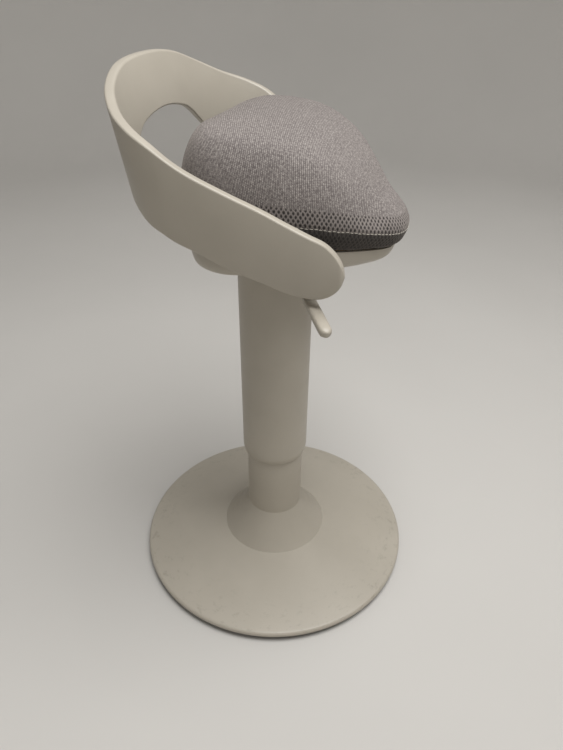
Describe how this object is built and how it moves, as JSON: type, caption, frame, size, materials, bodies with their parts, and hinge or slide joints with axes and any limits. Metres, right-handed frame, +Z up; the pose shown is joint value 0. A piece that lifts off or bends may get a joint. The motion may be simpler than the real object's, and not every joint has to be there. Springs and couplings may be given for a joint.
{
  "type": "perch stool",
  "caption": "Height-adjustable swivel perch stool with a flared round base, telescopic column, release lever, domed knit cushion and wrap-around back band.",
  "frame": {"origin": "on the floor, on the column's axis", "axes": "+Z up along the column, the seat faces -Y, +X to the sitter's left"},
  "size_m": [0.45, 0.45, 0.781],
  "materials": {
    "satin_shell": "satin, warm taupe",
    "knit_fabric": "coarse knit, warm grey",
    "dark_rubber": "matte",
    "bright_steel": "bright zinc",
    "black_steel": "satin black",
    "cast_weight": "raw casting",
    "pale_nylon": "natural nylon",
    "plywood": "raw plywood"
  },
  "bodies": {
    "base": {"base_cover": "satin_shell", "base_weight": "cast_weight", "foot_ring": "dark_rubber", "cover_screw_1": "bright_steel", "cover_screw_2": "bright_steel", "cover_screw_3": "bright_steel", "cover_screw_4": "bright_steel", "column_tube": "black_steel", "guide_bush": "pale_nylon", "lower_race": "bright_steel", "glide_collar": "pale_nylon"},
    "rod": {"thrust_bearing": "bright_steel", "upper_race": "bright_steel", "piston_rod": "bright_steel", "rubber_bumper": "dark_rubber", "piston": "pale_nylon", "piston_nut": "bright_steel", "retaining_clip": "bright_steel"},
    "seat": {"gas_cylinder": "black_steel", "rod_seal": "dark_rubber", "column_sleeve": "satin_shell", "sleeve_clip": "black_steel", "seat_mount": "black_steel", "lever_pin": "bright_steel", "mount_bolt_1": "bright_steel", "mount_bolt_2": "bright_steel", "mount_bolt_3": "bright_steel", "mount_bolt_4": "bright_steel", "seat_pan": "satin_shell", "seat_board": "plywood", "pan_screw_1": "bright_steel", "pan_screw_2": "bright_steel", "pan_screw_3": "bright_steel", "pan_screw_4": "bright_steel", "cushion": "knit_fabric", "back_band": "satin_shell", "band_bracket_left": "black_steel", "band_bracket_right": "black_steel", "band_screw_left_1": "bright_steel", "band_screw_left_2": "bright_steel", "band_screw_right_1": "bright_steel", "band_screw_right_2": "bright_steel", "bracket_screw_1": "bright_steel", "bracket_screw_2": "bright_steel", "bracket_screw_3": "bright_steel", "bracket_screw_4": "bright_steel"},
    "lever": {"lever_arm": "black_steel", "lever_grip": "satin_shell"},
    "button": {"release_button": "bright_steel"}
  },
  "joints": [
    {"name": "seat_swivel", "type": "hinge", "parent": "base", "child": "rod", "pos_m": [0, 0, 0], "axis": [0, 0, 1], "continuous": true},
    {"name": "seat_lift", "type": "slide", "parent": "rod", "child": "seat", "axis": [0, 0, 1], "range_m": [-0.11, 0.09]},
    {"name": "lever_lift", "type": "hinge", "parent": "seat", "child": "lever", "pos_m": [-0.02427, -0.01763, 0.5783], "axis": [-0.5878, 0.809, 0], "range_deg": [0, 4], "stiffness_Nm_per_rad": 1, "springref_deg": -5.73},
    {"name": "button_press", "type": "slide", "parent": "seat", "child": "button", "axis": [0, 0, -1], "range_m": [0, 0.0025], "stiffness_N_per_m": 300, "springref_m": -0.001}
  ],
  "couplings": [
    {"joint": "button_press", "follows": "lever_lift", "m_per_rad": 0.0345}
  ]
}
